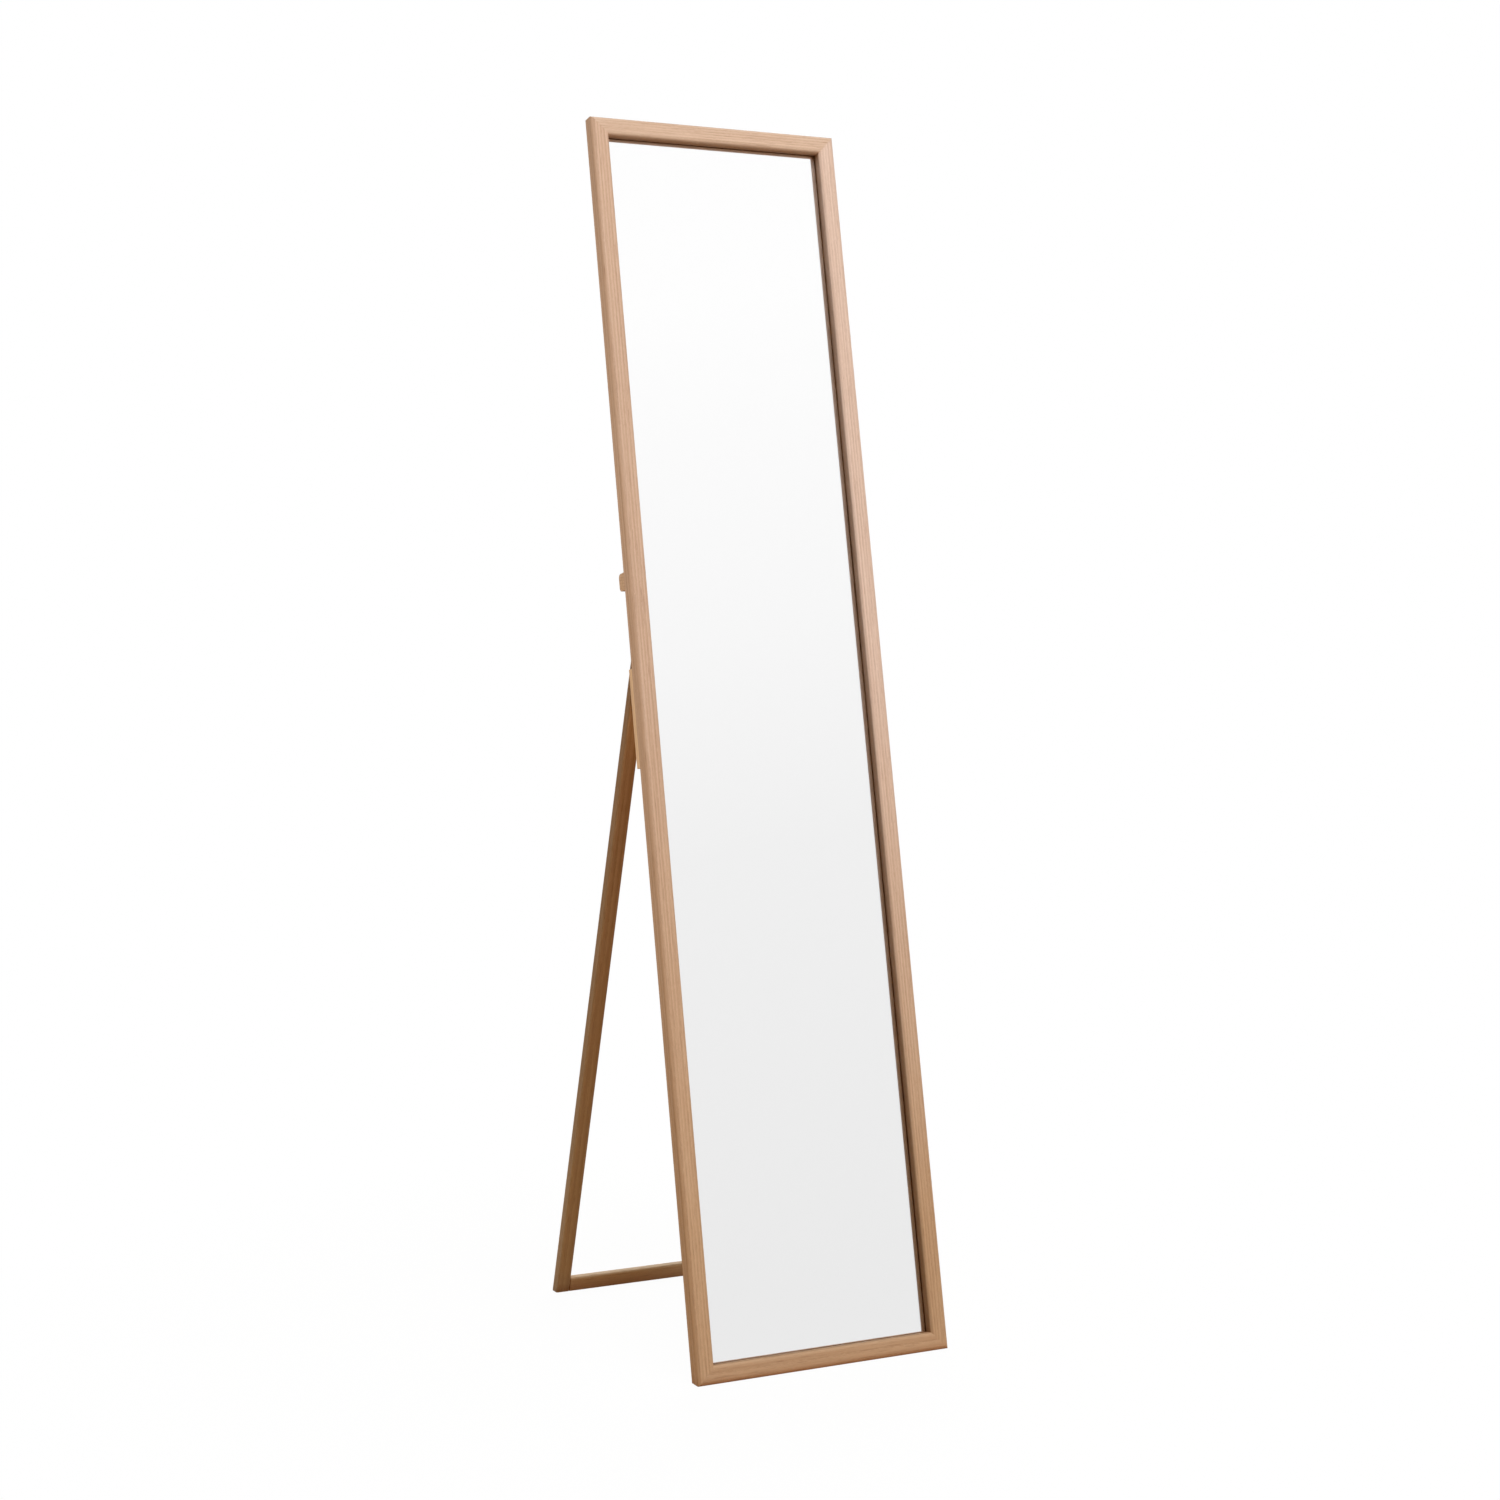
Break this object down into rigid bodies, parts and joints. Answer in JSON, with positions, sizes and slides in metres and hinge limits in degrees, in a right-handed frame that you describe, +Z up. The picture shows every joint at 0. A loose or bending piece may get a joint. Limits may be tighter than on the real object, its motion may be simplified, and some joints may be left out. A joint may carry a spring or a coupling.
{
  "type": "easel-back floor mirror",
  "caption": "Tall narrow floor mirror in a slim mitred wooden frame that leans back on a folding rear stand, with a cross rail behind.",
  "frame": {"origin": "on the floor, in the middle of the bounding box's footprint", "axes": "+Z up, +X to the right as seen from the front, the mirror faces -Y and the stand is on the +Y side"},
  "size_m": [0.33, 0.4484, 1.4695],
  "materials": {
    "oak": "light oak with a thin matt lacquer",
    "beech": "bare beech",
    "mirror_glass": "clear float glass, silvered behind",
    "hardboard": "smooth brown hardboard",
    "steel": "zinc plated"
  },
  "bodies": {
    "frame": {"left_stile": "oak", "right_stile": "oak", "top_rail": "oak", "bottom_rail": "oak", "corner_splines": "beech", "mirror_glass": "mirror_glass", "back_board": "hardboard", "framers_points": "steel", "left_hinge_block": "oak", "right_hinge_block": "oak", "block_screws": "steel", "left_frame_leaf": "steel", "right_frame_leaf": "steel", "frame_leaf_screws": "steel", "left_hinge_pin": "steel", "right_hinge_pin": "steel", "cross_rail": "oak", "cross_rail_screws": "steel"},
    "stand": {"stand_left_leg": "oak", "stand_right_leg": "oak", "stand_foot_rail": "oak", "stand_dowels": "beech", "left_leg_leaf": "steel", "right_leg_leaf": "steel", "leg_leaf_screws": "steel"}
  },
  "joints": [
    {"name": "stand_fold", "type": "hinge", "parent": "frame", "child": "stand", "pos_m": [0, -0.0374, 0.77999], "axis": [-1, 0, 0], "range_deg": [0, 28.7]}
  ]
}
